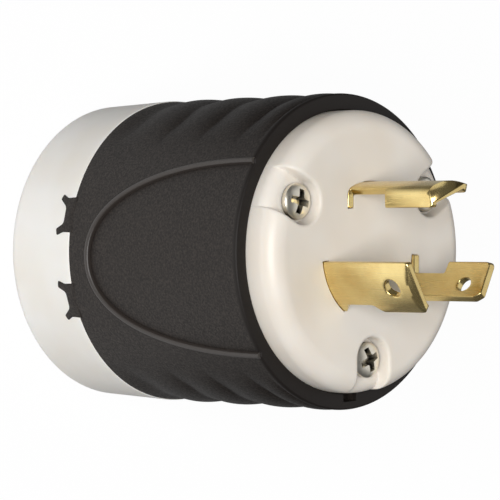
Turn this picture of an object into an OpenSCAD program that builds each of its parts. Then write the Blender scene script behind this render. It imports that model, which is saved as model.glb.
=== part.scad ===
// Three-blade twist-lock power plug, 20 A pattern, standing on its cord end.
// +Z runs along the plug's axis towards the blade tips, and the origin is the centre of the rear face.
// The smooth half-oval panels face -Y and +Y; the ribbed thumb grips face -X and +X.

/* [Housing] */
// Diameter of the nylon tube that carries the grip sleeve, and of the front face
tube_d = 48; // [46:0.5:58]
// Wall of that tube
tube_wall = 2.6; // [2:0.1:3]
// Length of rear cap that shows behind the grip sleeve
cap_len = 16; // [15:0.5:22]
// How much the cap narrows in radius towards the rear face
cap_taper = 0.7; // [0.2:0.1:2]
// Rounding of the edge round the rear face
cap_edge_r = 3.5; // [1.5:0.1:5]
// Thickness of the rear wall
rear_wall = 4; // [3.5:0.1:5]
// Diameter of the cord opening
cord_d = 20; // [14:0.5:20]
// Distance from the tube's outside to the assembly screws' axes
screw_inset = 5.7; // [5.5:0.1:6.5]

/* [Grip sleeve] */
// Length of the grip sleeve
grip_len = 40.5; // [39:0.5:55]
// Wall of the sleeve at its rear end
grip_wall_rear = 2.35; // [2:0.05:3.5]
// Wall of the sleeve at its front ring
grip_wall_front = 2.85; // [2:0.05:4]
// Length of the half-oval panel, from the front ring to its nose
panel_len = 36.5; // [25:0.5:50]
// Half width of the panel at the front ring, measured round the sleeve
panel_half_w = 18; // [12:0.5:20]
// Bluntness of the panel's nose: 2 is an ellipse
panel_power = 2.15; // [2:0.05:2.6]
// Width of the raised bead round the panel
bead_w = 1; // [0.6:0.1:2]
// Height of the bead above the sleeve
bead_h = 0.25; // [0.1:0.05:0.6]
// Depth of the panel below the sleeve
panel_depth = 0.25; // [0.1:0.05:0.8]
// Distance from the sleeve's rear end to the first groove
groove_start = 3.6; // [3.4:0.1:6]
// Number of grooves in each ribbed grip
groove_count = 4; // [2:1:5]
// Distance from groove to groove
groove_pitch = 9.75; // [8:0.25:11]
// Depth of a groove in the middle of the grip
groove_depth = 0.5; // [0.2:0.05:0.8]
// How far the grooves' ring is set off the axis, which makes them fade out sideways
groove_offset = 2.5; // [1.5:0.1:6]

/* [Front face] */
// How far the face stands out of the grip's front ring
face_proud = 5.85; // [5:0.05:9]
// Rounding of the face's edge
face_edge_r = 3.35; // [1:0.05:4]
// Depth of the assembly screws' pockets
pocket_depth = 3.85; // [2.5:0.05:4.5]
// Half width of those pockets
pocket_half_w = 4.1; // [3.6:0.1:4.6]

/* [Blades] */
// Outer diameter of the circle that the three blades lie on
blade_ring_d = 23.8; // [20:0.1:24]
// Thickness of the blades
blade_t = 1.6; // [1.2:0.05:2]
// Length of blade that stands out of the face
blade_len = 18.75; // [14:0.25:24]
// Angle that each line blade spans
blade_span = 49; // [40:0.5:52]
// Height of the locking notch
notch_h = 5.6; // [4:0.1:7]
// Height of the full-width strip between the face and the notch
notch_foot = 1.6; // [0.8:0.1:2.5]
// Diameter of the hole near the tip
blade_hole_d = 3.2; // [2:0.1:4]

/* [Fasteners] */
// Shaft diameter of the assembly and clamp screws
screw_d = 3.5; // [3:0.1:4]
// Head diameter of the assembly and clamp screws
screw_head_d = 6.1; // [5:0.1:6.8]
// Shaft diameter of the terminal screws
terminal_d = 4; // [3:0.1:4.4]

/* [Clearances] */
// Gap between round faces that fit one in the other
fit_gap = 0.1; // [0.05:0.01:0.2]
// Gap round a screw's shaft in a plain hole
screw_gap = 0.35; // [0.2:0.05:0.5]
// Gap round a blade in its slot
slot_gap = 0.12; // [0.05:0.01:0.2]

/* [Hidden] */
$fn = 96;
eps = 0.5;

// Radii and heights of the shells
tube_r = tube_d / 2;
cavity_r = tube_r - tube_wall;
ledge = 0.7;
grip_in_r = tube_r + fit_gap;
grip_rear_r = grip_in_r + grip_wall_rear;
grip_front_r = grip_in_r + grip_wall_front;
grip_edge = 0.6;
crest_band = 0.1;
cap_front_r = grip_rear_r + 0.1;
cap_rear_r = cap_front_r - cap_taper;
grip_front_z = cap_len + grip_len;
face_z = grip_front_z + face_proud;
tip_z = face_z + blade_len;
cord_r = cord_d / 2;
cord_bevel = 0.6;

// The stack behind the face, from front to back
face_seat_depth = 6.5;
split_z = grip_front_z - face_seat_depth;
spigot_h = 3;
carrier_top_z = split_z - spigot_h;
carrier_h = 11;
carrier_z = carrier_top_z - carrier_h;

// Assembly screws, the pillars that they go into and the threaded inserts
screw_r = screw_d / 2;
head_r = screw_head_d / 2;
head_h = 1.9;
head_gap = 0.25;
screw_circle_r = tube_r - screw_inset;
screw_angles = [0, 120, 240];
pocket_z = face_z - pocket_depth;
insert_h = 9;
insert_wall = 0.85;
insert_r = screw_r + insert_wall;
pillar_wall = 1.3;
pillar_r = insert_r + pillar_wall;
screw_end_gap = 1;
screw_relief = 3;
screw_tip_z = carrier_z - insert_h + screw_end_gap;

// Blades: inner radius, the feet inside, and where each one lies
blade_out_r = blade_ring_d / 2;
blade_in_r = blade_out_r - blade_t;
foot_z = carrier_top_z - blade_t;
foot_setback = 2.1;
foot_end_r = cavity_r - foot_setback;
foot_half_w = 4.9;
ground_angle = 180;
line_angle = 60;
neutral_angle = 300;
ground_span = [-27, 20.9];
tip_chamfer = [0.45, 1.2];
widest_turn = max(blade_span / 2, -ground_span[0], ground_span[1]);
seat_half_w = max(foot_half_w, blade_out_r * sin(widest_turn)) + slot_gap;
slot_spare = slot_gap / blade_out_r * 180 / PI;

// The ground blade's hook: a bend about its own hub, then a flat flange along +X
hook_bend_r = 0.3;
hook_hub_r = blade_in_r - hook_bend_r;
hook_start = ground_angle + ground_span[1];
hook_turn = 270 - hook_start;
hook_flange = 2.5;
hook_notch_turn = 18;
hook_notch_drop = 0.5;

// Notches and holes: the angles that they take from a blade's edge, and where the holes lie
notch_z = face_z + notch_foot;
neutral_notch = 9;
neutral_ramp = 1.8;
line_notch = 17;
line_ramp = 0.6;
line_shank_cut = 6;
past_edge = 20;
neutral_hole = [-2.5, 4.6];
line_hole = [-3.5, 5.6];

// Terminals
terminal_r = terminal_d / 2;
terminal_inset = 4.1;
terminal_circle_r = foot_end_r - terminal_inset;
terminal_rim = 1.5;
terminal_head_r = terminal_r + terminal_rim;
terminal_head_h = 2.6;
terminal_end_h = 1;
wire_gap = 2.1;
plate_t = 1.5;
plate_z = foot_z - wire_gap - plate_t;
well_ledge = 0.7;
well_half_w = foot_half_w - well_ledge;

// Cord clamp
jaw_bite = 1.2;
jaw_bore_r = cord_r - jaw_bite;
jaw_wall = 3.2;
jaw_r = cord_r + jaw_wall;
jaw_gap = 0.3;
jaw_h = 11.2;
jaw_z = rear_wall + jaw_gap;
jaw_top_z = jaw_z + jaw_h;
jaw_spread = 60;
jaw_half_w = 4.5;
wedge_slope = 0.2;
clamp_rim = 1.6;
clamp_screw_r = cord_r + head_r + clamp_rim;
clamp_travel = 0.8;
clamp_head_h = 1.7;
clamp_head_sink = 0.7;
lug_wall = 2.5;
lug_rear_r = clamp_screw_r + lug_wall;
nut_rim = 1.4;
nut_flats = 2 * (screw_r + nut_rim);
nut_h = 2.4;
nut_z = jaw_top_z - nut_h;
seal_headroom = 2.5;
ledge_z = jaw_top_z + seal_headroom;
seal_t = 1.5;
seal_hole_r = cord_r * 0.6;

// Outer radius of the grip sleeve's plain taper at a height
function grip_r(z) = grip_rear_r + (grip_front_r - grip_rear_r) * (z - cap_len) / grip_len;

// A point of the panel's outline as seen along Y, at t degrees round it and inset by a distance
function panel_point(t, inset) =
    let (
        w = (panel_half_w - inset) * sign(cos(t)) * pow(abs(cos(t)), 2 / panel_power),
        l = (panel_len - inset) * pow(sin(t), 2 / panel_power)
    )
    [grip_rear_r * sin(w / grip_rear_r * 180 / PI), grip_front_z - l];

// Puts children at a radius and an angle, facing outwards along their own X
module polar(r, a) {
    rotate([0, 0, a]) translate([r, 0, 0]) children();
}

// A tube between two radii and two heights
module tube(r_in, r_out, z0, z1) {
    translate([0, 0, z0]) difference() {
        cylinder(r = r_out, h = z1 - z0);
        translate([0, 0, -eps]) cylinder(r = r_in, h = z1 - z0 + 2 * eps);
    }
}

// A wedge of space about the Z axis between two angles, for cutting arcs out of tubes
module sector(a0, a1, r, z0, z1) {
    m = (a0 + a1) / 2;
    translate([0, 0, z0]) linear_extrude(z1 - z0)
        polygon([[0, 0], for (a = [a0, m, a1]) 2 * r * [cos(a), sin(a)]]);
}

// ---- Rear housing: the cap, the tube under the sleeve, the pillars and the clamp's ramps ----

module housing_outline() {
    edge_x = cap_rear_r + cap_taper * cap_edge_r / cap_len - cap_edge_r;
    translate([edge_x, cap_edge_r]) circle(r = cap_edge_r);
    square([edge_x, cap_len]);
    polygon([[0, cap_edge_r], [edge_x + cap_edge_r, cap_edge_r], [cap_front_r, cap_len], [0, cap_len]]);
    square([tube_r, split_z]);
}

module clamp_ramp() {
    z0 = rear_wall - eps;
    foot = lug_rear_r + fit_gap + (z0 - jaw_z) * wedge_slope;
    rotate([90, 0, 90]) translate([0, 0, -jaw_half_w]) linear_extrude(2 * jaw_half_w)
        polygon([[foot, z0], [cavity_r + eps, z0], [cavity_r + eps, ledge_z],
                 [foot + (ledge_z - z0) * wedge_slope, ledge_z]]);
}

module clamp_screw_slot(r, z0, z1) {
    for (side = [90, -90]) polar(0, side) {
        for (x = [-clamp_travel, 0]) translate([clamp_screw_r + x, 0, z0]) cylinder(r = r, h = z1 - z0);
        translate([clamp_screw_r - clamp_travel, -r, z0]) cube([clamp_travel, 2 * r, z1 - z0]);
    }
}

module rear_housing() {
    color("WhiteSmoke") difference() {
        union() {
            difference() {
                rotate_extrude() housing_outline();
                translate([0, 0, rear_wall]) cylinder(r = cavity_r - ledge, h = split_z);
                translate([0, 0, ledge_z]) cylinder(r = cavity_r, h = split_z);
            }
            for (a = screw_angles) polar(screw_circle_r, a)
                translate([0, 0, rear_wall - eps]) cylinder(r = pillar_r, h = carrier_z - rear_wall + eps);
            for (side = [0, 180]) rotate([0, 0, side]) clamp_ramp();
        }
        translate([0, 0, -eps]) cylinder(r = cord_r, h = rear_wall + 2 * eps);
        translate([0, 0, -cord_bevel])
            cylinder(r1 = cord_r + 2 * cord_bevel, r2 = cord_r, h = 2 * cord_bevel);
        clamp_screw_slot(head_r + head_gap, -eps, clamp_head_h + clamp_head_sink);
        clamp_screw_slot(screw_r + screw_gap, -eps, rear_wall + eps);
        for (a = screw_angles) polar(screw_circle_r, a) {
            translate([0, 0, carrier_z - insert_h - fit_gap])
                cylinder(r = insert_r + fit_gap / 2, h = 2 * insert_h);
            translate([0, 0, screw_tip_z - screw_relief]) cylinder(r = screw_r + screw_gap, h = insert_h);
        }
        intersection() {
            finger_prisms();
            tube(finger_in_r - fit_gap / 2, 2 * tube_r, cap_len / 2, cap_len + eps);
        }
    }
}

// ---- Grip sleeve: taper, interlocking fingers, panels with beads, grooves and the key notch ----

// Radii between which the fingers lie, and their outline as seen along Y
finger_floor = 0.85;
finger_sink = 0.05;
finger_in_r = grip_in_r + finger_floor;
finger_tip = 3.5;
finger_tab = 1.75;
finger_outline = [
    [4.4, eps], [4.5, -finger_tab], [3.95, 0.25 - finger_tip], [5.1, -finger_tip], [6, -finger_tab],
    [8.8, -finger_tab], [10.1, -finger_tip], [11, 0.4 - finger_tip], [10.35, -finger_tab], [10.5, eps]
];

module finger_prisms() {
    for (side = [0, 1], flip = [0, 1]) mirror([0, side, 0]) mirror([flip, 0, 0])
        translate([0, 0, cap_len]) rotate([90, 0, 0]) linear_extrude(2 * tube_r) polygon(finger_outline);
}

// The sleeve's taper between two heights, grown outwards, as a solid of revolution
module taper(grow, z0, z1) {
    rotate_extrude() polygon([[0, z0], [grip_r(z0) + grow, z0], [grip_r(z1) + grow, z1], [0, z1]]);
}

// The panel's shape, cut through the sleeve on the -Y side
module panel_prism(inset) {
    step = 7.5;
    top = grip_front_z + eps;
    rotate([90, 0, 0]) linear_extrude(2 * tube_r)
        polygon(concat(
            [[panel_point(0, inset)[0], top]],
            [for (t = [0:step:180]) panel_point(t, inset)],
            [[panel_point(180, inset)[0], top]]));
}

// A ring with the section of the cusp between two neighbouring ribs, set off the axis
module groove_ring(z) {
    crest_r = grip_r(z) + crest_band + groove_offset;
    half = groove_pitch / 2;
    flank_r = (half * half + groove_depth * groove_depth) / (2 * groove_depth);
    translate([-groove_offset, 0, z]) rotate_extrude($fn = 180) difference() {
        translate([crest_r - groove_depth - eps, -half]) square([groove_depth + 2 * eps, 2 * half]);
        for (s = [-half, half]) translate([crest_r - flank_r, s]) circle(r = flank_r, $fn = 256);
    }
}

module grip_sleeve() {
    lip = grip_front_z - grip_edge;
    key_w = 3.2;
    key_h = 2;
    key_r = grip_in_r + 1.45;
    color("DimGray") union() {
        difference() {
            union() {
                taper(0, cap_len, lip);
                rotate_extrude() polygon([[0, lip], [grip_r(lip), lip],
                    [grip_front_r - grip_edge / 2, grip_front_z], [0, grip_front_z]]);
                intersection() {
                    finger_prisms();
                    translate([0, 0, cap_len / 2]) cylinder(r = grip_rear_r - finger_sink, h = cap_len);
                }
            }
            translate([0, 0, cap_len]) cylinder(r = grip_in_r, h = grip_len + eps);
            translate([0, 0, -eps]) cylinder(r = finger_in_r, h = cap_len + eps);
            for (side = [0, 180]) rotate([0, 0, side]) difference() {
                panel_prism(bead_w / 2);
                taper(-panel_depth, cap_len, grip_front_z + eps);
            }
            for (side = [0, 180], i = [0:groove_count - 1]) rotate([0, 0, side])
                groove_ring(cap_len + groove_start + i * groove_pitch);
            translate([0, -key_w / 2, grip_front_z - key_h]) cube([key_r, key_w, key_h + eps]);
        }
        for (side = [0, 180]) rotate([0, 0, side]) intersection() {
            difference() {
                panel_prism(0);
                panel_prism(bead_w);
            }
            difference() {
                taper(bead_h, cap_len, lip);
                taper(-2 * panel_depth - bead_h, cap_len - eps, grip_front_z);
            }
        }
    }
}

// ---- Front face: rounded disc with a spigot, blade slots, screw pockets and holes ----

module face_outline(top, edge) {
    translate([0, split_z]) square([tube_r - edge, top - split_z]);
    translate([0, split_z]) square([tube_r, top - edge - split_z]);
    translate([tube_r - edge, top - edge]) circle(r = edge);
}

// The U-shaped space over an assembly screw's head, open outwards above a lower rounded rim
module screw_pocket() {
    rim_edge = 2.2;
    flare = 0.8;
    wide = pocket_half_w + 2 * flare;
    depth = face_z - split_z + flare;
    difference() {
        translate([screw_circle_r, 0, 0]) {
            translate([0, 0, split_z]) cylinder(r = pocket_half_w, h = depth);
            translate([0, 0, face_z - flare]) cylinder(r1 = pocket_half_w, r2 = wide, h = 2 * flare);
            translate([0, -pocket_half_w, split_z]) cube([tube_r, 2 * pocket_half_w, depth]);
            rotate([90, 0, 90]) linear_extrude(tube_r)
                polygon([[-pocket_half_w, face_z - flare], [pocket_half_w, face_z - flare],
                         [wide, face_z + flare], [-wide, face_z + flare]]);
        }
        rotate_extrude() face_outline(pocket_z, rim_edge);
    }
}

module front_face() {
    color("White") difference() {
        union() {
            rotate_extrude() face_outline(face_z, face_edge_r);
            translate([0, 0, carrier_top_z]) cylinder(r = cavity_r - fit_gap, h = spigot_h + eps);
        }
        for (a = screw_angles) rotate([0, 0, a]) {
            screw_pocket();
            translate([screw_circle_r, 0, carrier_top_z - eps]) cylinder(r = screw_r + screw_gap, h = face_z);
        }
        for (a = [ground_angle, line_angle, neutral_angle]) polar(terminal_circle_r, a)
            translate([0, 0, carrier_top_z - eps])
                cylinder(r = terminal_r + screw_gap, h = terminal_end_h + 2 * eps);
        blade_slots();
    }
}

// ---- Blade carrier: the insulating disc that clamps the blades' feet against the face ----

module blade_carrier() {
    well_spare = 1;
    seat_spare = 1.5;
    color("Gainsboro") difference() {
        translate([0, 0, carrier_z]) cylinder(r = cavity_r - fit_gap, h = carrier_h);
        for (a = screw_angles) polar(screw_circle_r, a)
            translate([0, 0, carrier_z - eps]) cylinder(r = screw_r + screw_gap, h = carrier_h + 2 * eps);
        for (a = [ground_angle, line_angle, neutral_angle]) rotate([0, 0, a]) {
            translate([blade_in_r - well_spare, -well_half_w, carrier_z - eps])
                cube([foot_end_r - blade_in_r + well_spare, 2 * well_half_w, carrier_h + 2 * eps]);
            translate([blade_in_r - seat_spare, -seat_half_w, foot_z])
                cube([foot_end_r - blade_in_r + seat_spare + slot_gap, 2 * seat_half_w, 2 * blade_t]);
        }
    }
}

// ---- Blades: stamped brass strips, rolled to the blade circle, each with a foot for its terminal ----

// A strip's section between two distances from its bending axis, coined thinner at the tip
module strip_section(x0, x1, z0) {
    coin_z = tip_z - tip_chamfer[1];
    thin = tip_chamfer[0];
    polygon([[x0, z0], [x1, z0], [x1, coin_z], [x1 - thin, tip_z], [x0 + thin, tip_z], [x0, coin_z]]);
}

module blade_strip(a0, a1) {
    intersection() {
        rotate_extrude() strip_section(blade_in_r, blade_out_r, foot_z);
        sector(a0, a1, blade_out_r, foot_z - eps, tip_z + eps);
    }
}

module blade_foot() {
    difference() {
        translate([blade_in_r, -foot_half_w, foot_z])
            cube([foot_end_r - blade_in_r, 2 * foot_half_w, blade_t]);
        polar(terminal_circle_r, 0) translate([0, 0, foot_z - eps])
            cylinder(r = terminal_r + fit_gap / 2, h = blade_t + 2 * eps);
    }
}

module blade_hole(a, drop) {
    rotate([0, 0, a]) translate([0, 0, tip_z - drop]) rotate([0, 90, 0])
        cylinder(r = blade_hole_d / 2, h = 2 * blade_out_r);
}

// The locking notch: a slot in the strip's edge between two angles, with a sloping front end
module blade_notch(a0, a1, ramp) {
    sector(a0, a1, blade_out_r, notch_z, notch_z + notch_h);
    polar(0, a0) rotate([90, 0, 90]) linear_extrude(2 * blade_out_r)
        polygon([[-eps, notch_z + notch_h - eps], [blade_out_r * sin(a1 - a0), notch_z + notch_h - eps],
                 [blade_out_r * sin(a1 - a0), notch_z + notch_h + ramp], [-eps, notch_z + notch_h]]);
}

module neutral_blade() {
    half = blade_span / 2;
    color("Goldenrod") difference() {
        union() {
            rotate([0, 0, neutral_angle]) blade_strip(-half, half);
            rotate([0, 0, neutral_angle]) blade_foot();
        }
        rotate([0, 0, neutral_angle]) blade_notch(half - neutral_notch, half + past_edge, neutral_ramp);
        blade_hole(neutral_angle + neutral_hole[0], neutral_hole[1]);
    }
}

module line_blade() {
    half = blade_span / 2;
    color("Goldenrod") difference() {
        union() {
            rotate([0, 0, line_angle]) blade_strip(-half, half);
            rotate([0, 0, line_angle]) blade_foot();
        }
        rotate([0, 0, line_angle]) {
            blade_notch(half - line_notch, half + past_edge, line_ramp);
            sector(half - line_shank_cut, half + past_edge, blade_out_r, notch_z, tip_z + eps);
        }
        blade_hole(line_angle + line_hole[0], line_hole[1]);
    }
}

// The ground blade's hook from a turn of its bend onwards; grown, it cuts the slot and the notch
module ground_hook(turn, grow, z0, z1) {
    end_r = hook_bend_r + blade_t;
    polar(hook_hub_r, hook_start) rotate([0, 0, -hook_start]) {
        intersection() {
            tube(max(hook_bend_r - grow, 0.01), end_r + grow, z0, z1);
            sector(hook_start + turn, hook_start + hook_turn, end_r, z0 - eps, z1 + eps);
        }
        translate([0, -end_r - grow, z0]) cube([hook_flange + grow, blade_t + 2 * grow, z1 - z0]);
    }
}

// The hook's two ends coined thinner at the tip, as the strip is
module hook_body() {
    end_r = hook_bend_r + blade_t;
    polar(hook_hub_r, hook_start) rotate([0, 0, -hook_start]) {
        intersection() {
            rotate_extrude() strip_section(hook_bend_r, end_r, carrier_top_z);
            sector(hook_start, hook_start + hook_turn, end_r, foot_z, tip_z + eps);
        }
        rotate([90, 0, 90]) linear_extrude(hook_flange) mirror([1, 0, 0])
            strip_section(hook_bend_r, end_r, carrier_top_z);
    }
}

module ground_blade() {
    color("Goldenrod") {
        rotate([0, 0, ground_angle]) blade_strip(ground_span[0], ground_span[1]);
        rotate([0, 0, ground_angle]) blade_foot();
        difference() {
            hook_body();
            ground_hook(hook_notch_turn, 1, notch_z - hook_notch_drop, notch_z + notch_h - hook_notch_drop);
        }
    }
}

module blade_slot(a0, a1) {
    intersection() {
        tube(blade_in_r - slot_gap, blade_out_r + slot_gap, carrier_top_z - eps, face_z + eps);
        sector(a0, a1, blade_out_r, carrier_top_z - 2 * eps, face_z + 2 * eps);
    }
}

// The blades' slots through the face
module blade_slots() {
    for (a = [line_angle, neutral_angle])
        blade_slot(a - blade_span / 2 - slot_spare, a + blade_span / 2 + slot_spare);
    blade_slot(ground_angle + ground_span[0] - slot_spare, hook_start);
    ground_hook(0, slot_gap, carrier_top_z - eps, face_z + eps);
}

// ---- Terminals: a clamping plate and a binding screw under each blade's foot ----

module pressure_plate(a) {
    length = 7.2;
    width = 2 * (well_half_w - 0.2);
    rib_w = 0.6;
    rib_h = 0.5;
    rib_inset = 0.8;
    x0 = terminal_circle_r - length / 2;
    color("Peru") rotate([0, 0, a]) difference() {
        union() {
            translate([x0, -width / 2, plate_z]) cube([length, width, plate_t]);
            for (side = [-1, 1])
                translate([x0, side * (width / 2 - rib_inset) - rib_w / 2, plate_z + plate_t - eps])
                    cube([length, rib_w, rib_h + eps]);
        }
        translate([terminal_circle_r, 0, plate_z - eps])
            cylinder(r = terminal_r + fit_gap, h = plate_t + 2 * eps);
    }
}

module terminal_screw(a, tint) {
    slot_w = 1;
    slot_depth = 1.1;
    crown = 2 * terminal_head_r;
    shaft = carrier_top_z + terminal_end_h - plate_z;
    color(tint) polar(terminal_circle_r, a) translate([0, 0, plate_z]) mirror([0, 0, 1]) difference() {
        union() {
            rotate_extrude() intersection() {
                square([terminal_head_r, terminal_head_h]);
                translate([0, terminal_head_h - crown]) circle(r = crown);
            }
            translate([0, 0, -shaft]) cylinder(r = terminal_r, h = shaft + eps);
        }
        translate([-terminal_head_r - eps, -slot_w / 2, terminal_head_h - slot_depth])
            cube([2 * terminal_head_r + 2 * eps, slot_w, 2 * slot_depth]);
    }
}

// ---- Assembly screws and inserts ----

// A crowned head with a cross recess; its underside lies at z = 0 and the shaft runs down from it
module cross_screw(height, length) {
    crown = 1.5 * head_r;
    recess_floor = 0.4;
    wing_w = 0.9;
    wing_foot = 0.7;
    wing_reach = 0.65 * head_r;
    difference() {
        union() {
            rotate_extrude() intersection() {
                square([head_r, height]);
                translate([0, height - crown]) circle(r = crown);
            }
            translate([0, 0, -length]) cylinder(r = screw_r, h = length + eps);
        }
        for (a = [0, 90]) rotate([90, 0, a]) translate([0, 0, -wing_w / 2]) linear_extrude(wing_w)
            polygon([[-wing_foot, recess_floor], [wing_foot, recess_floor],
                     [wing_reach, height + eps], [-wing_reach, height + eps]]);
    }
}

module assembly_screws() {
    turn = 25;
    color("Silver") for (a = screw_angles) polar(screw_circle_r, a) translate([0, 0, pocket_z])
        rotate([0, 0, turn]) cross_screw(head_h, pocket_z - screw_tip_z);
}

module assembly_inserts() {
    groove_h = 1.6;
    groove_in = 0.4;
    color("Gold") for (a = screw_angles) polar(screw_circle_r, a) difference() {
        translate([0, 0, carrier_z - insert_h]) cylinder(r = insert_r, h = insert_h);
        translate([0, 0, carrier_z - insert_h - eps])
            cylinder(r = screw_r + fit_gap / 2, h = insert_h + 2 * eps);
        tube(insert_r - groove_in, insert_r + eps,
            carrier_z - (insert_h + groove_h) / 2, carrier_z - (insert_h - groove_h) / 2);
    }
}

// ---- Cord end: seal, jaws, clamp screws and nuts ----

module cord_seal() {
    lip = 1.2;
    slit = 0.6;
    color("DarkSlateGray") difference() {
        union() {
            translate([0, 0, ledge_z]) cylinder(r = cavity_r - fit_gap, h = seal_t);
            translate([0, 0, ledge_z]) cylinder(r = seal_hole_r + lip, h = seal_t + lip);
        }
        translate([0, 0, ledge_z - eps]) cylinder(r = seal_hole_r, h = seal_t + lip + 2 * eps);
        for (a = screw_angles) polar(screw_circle_r, a)
            translate([0, 0, ledge_z - eps]) cylinder(r = pillar_r + fit_gap, h = seal_t + 2 * eps);
        for (a = [30:60:150]) rotate([0, 0, a])
            translate([-cord_r, -slit / 2, ledge_z - eps]) cube([2 * cord_r, slit, seal_t + lip + 2 * eps]);
    }
}

module cord_jaw() {
    teeth = 3;
    tooth_h = 1.6;
    tooth_depth = 0.7;
    lug_in_r = jaw_bore_r + 1.5;
    lug_top_r = lug_rear_r + (jaw_top_z - jaw_z) * wedge_slope;
    difference() {
        union() {
            intersection() {
                tube(jaw_bore_r, jaw_r, jaw_z, jaw_top_z);
                sector(90 - jaw_spread, 90 + jaw_spread, jaw_r, jaw_z - eps, jaw_top_z + eps);
            }
            rotate([90, 0, 90]) translate([0, 0, -jaw_half_w]) linear_extrude(2 * jaw_half_w)
                polygon([[lug_in_r, jaw_z], [lug_rear_r, jaw_z],
                         [lug_top_r, jaw_top_z], [lug_in_r, jaw_top_z]]);
        }
        translate([0, clamp_screw_r, jaw_z - eps]) cylinder(r = screw_r + fit_gap, h = jaw_top_z);
        translate([0, clamp_screw_r, nut_z]) rotate([0, 0, 30])
            cylinder(r = (nut_flats / 2 + fit_gap) / cos(30), h = 2 * nut_h, $fn = 6);
        for (i = [0:teeth - 1]) translate([0, 0, jaw_z + (i + 0.5) * (jaw_top_z - jaw_z) / teeth])
            rotate_extrude() polygon([[jaw_bore_r - eps, -tooth_h],
                                      [jaw_bore_r + tooth_depth, 0], [jaw_bore_r - eps, tooth_h]]);
    }
}

module cord_jaw_left() {
    color("Khaki") cord_jaw();
}

module cord_jaw_right() {
    color("Khaki") rotate([0, 0, 180]) cord_jaw();
}

module clamp_screws() {
    head_z = clamp_head_h + clamp_head_sink;
    color("Silver") for (side = [90, -90]) polar(clamp_screw_r, side)
        translate([0, 0, head_z]) mirror([0, 0, 1]) cross_screw(clamp_head_h, jaw_top_z - head_z);
}

module clamp_nuts() {
    color("Silver") for (side = [90, -90]) polar(clamp_screw_r, side) translate([0, 0, nut_z]) difference() {
        cylinder(r = nut_flats / 2 / cos(30), h = nut_h, $fn = 6);
        translate([0, 0, -eps]) cylinder(r = screw_r + fit_gap / 2, h = nut_h + 2 * eps);
    }
}

rear_housing();
grip_sleeve();
front_face();
blade_carrier();
ground_blade();
line_blade();
neutral_blade();
pressure_plate(ground_angle);  // ground_pressure_plate
pressure_plate(line_angle);  // line_pressure_plate
pressure_plate(neutral_angle);  // neutral_pressure_plate
terminal_screw(ground_angle, "ForestGreen");  // ground_terminal_screw
terminal_screw(line_angle, "Gold");  // line_terminal_screw
terminal_screw(neutral_angle, "Silver");  // neutral_terminal_screw
assembly_screws();
assembly_inserts();
cord_seal();
cord_jaw_left();
cord_jaw_right();
clamp_screws();
clamp_nuts();
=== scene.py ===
"""The looks of a three-blade twist-lock power plug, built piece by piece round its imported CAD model.

The plug stands on its cord end: +Z runs to the blade tips, the smooth half-oval panels face -Y and +Y,
and the ribbed thumb grips face -X and +X. Arrays hold millimetres until a mesh is made.
"""

import math

import bpy
import numpy as np
from mathutils import Matrix, Vector
from mathutils.geometry import delaunay_2d_cdt


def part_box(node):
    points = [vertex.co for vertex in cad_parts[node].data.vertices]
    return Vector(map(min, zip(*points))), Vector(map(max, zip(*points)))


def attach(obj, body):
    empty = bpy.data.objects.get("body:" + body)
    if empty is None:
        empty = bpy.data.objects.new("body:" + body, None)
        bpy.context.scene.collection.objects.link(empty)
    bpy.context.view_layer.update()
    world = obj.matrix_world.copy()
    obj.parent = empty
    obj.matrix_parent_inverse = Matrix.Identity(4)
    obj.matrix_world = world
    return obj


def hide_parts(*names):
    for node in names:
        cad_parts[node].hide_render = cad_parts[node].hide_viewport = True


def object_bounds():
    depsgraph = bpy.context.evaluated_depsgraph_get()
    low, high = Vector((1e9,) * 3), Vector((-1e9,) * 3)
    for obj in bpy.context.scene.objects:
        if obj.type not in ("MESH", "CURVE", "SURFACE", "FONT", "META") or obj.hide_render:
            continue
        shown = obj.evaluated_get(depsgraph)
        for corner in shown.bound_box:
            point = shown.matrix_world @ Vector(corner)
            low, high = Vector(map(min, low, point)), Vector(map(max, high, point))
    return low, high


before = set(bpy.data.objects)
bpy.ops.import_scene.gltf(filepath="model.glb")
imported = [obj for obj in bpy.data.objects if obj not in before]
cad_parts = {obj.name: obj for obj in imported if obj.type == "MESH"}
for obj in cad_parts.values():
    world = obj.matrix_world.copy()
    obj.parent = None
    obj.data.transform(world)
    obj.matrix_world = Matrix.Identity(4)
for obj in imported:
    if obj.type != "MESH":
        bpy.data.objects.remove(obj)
cad_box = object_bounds()

MM = 0.001


# ---- Studio: the camera, a pale floor and plain soft light ----
# The camera looks down on the plug and is rolled a quarter turn, so that the blades point to the right.

def corners(node):
    """The lowest and highest corner of a CAD node, in millimetres."""
    return [np.array(corner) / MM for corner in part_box(node)]


def turned_camera(aim, azimuth, elevation, roll, distance, lens):
    """A camera at a distance from its aim; azimuth 0 looks along +Y, and the roll turns it on its axis."""
    back = Vector((math.sin(azimuth) * math.cos(elevation),
                   -math.cos(azimuth) * math.cos(elevation),
                   math.sin(elevation)))
    level = Vector((math.cos(azimuth), math.sin(azimuth), 0))
    turn = Matrix.Rotation(roll, 3, back)
    right = turn @ level
    up = turn @ back.cross(level)
    data = bpy.data.cameras.new("camera")
    data.lens = lens
    data.sensor_width = 36
    camera = bpy.data.objects.new("camera", data)
    axes = Matrix((right, up, back)).transposed().to_4x4()
    camera.matrix_world = Matrix.Translation(aim + distance * back) @ axes
    bpy.context.scene.collection.objects.link(camera)
    bpy.context.scene.camera = camera


middle = (Vector(cad_box[0]) + Vector(cad_box[1])) / 2
turned_camera(aim=middle + Vector((-0.8, -11.6, 4.65)) * MM, azimuth=math.radians(-3.04),
              elevation=math.radians(44.32), roll=math.radians(90.36), distance=0.61, lens=258.55)

bpy.context.scene.view_settings.view_transform = "Standard"


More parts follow.
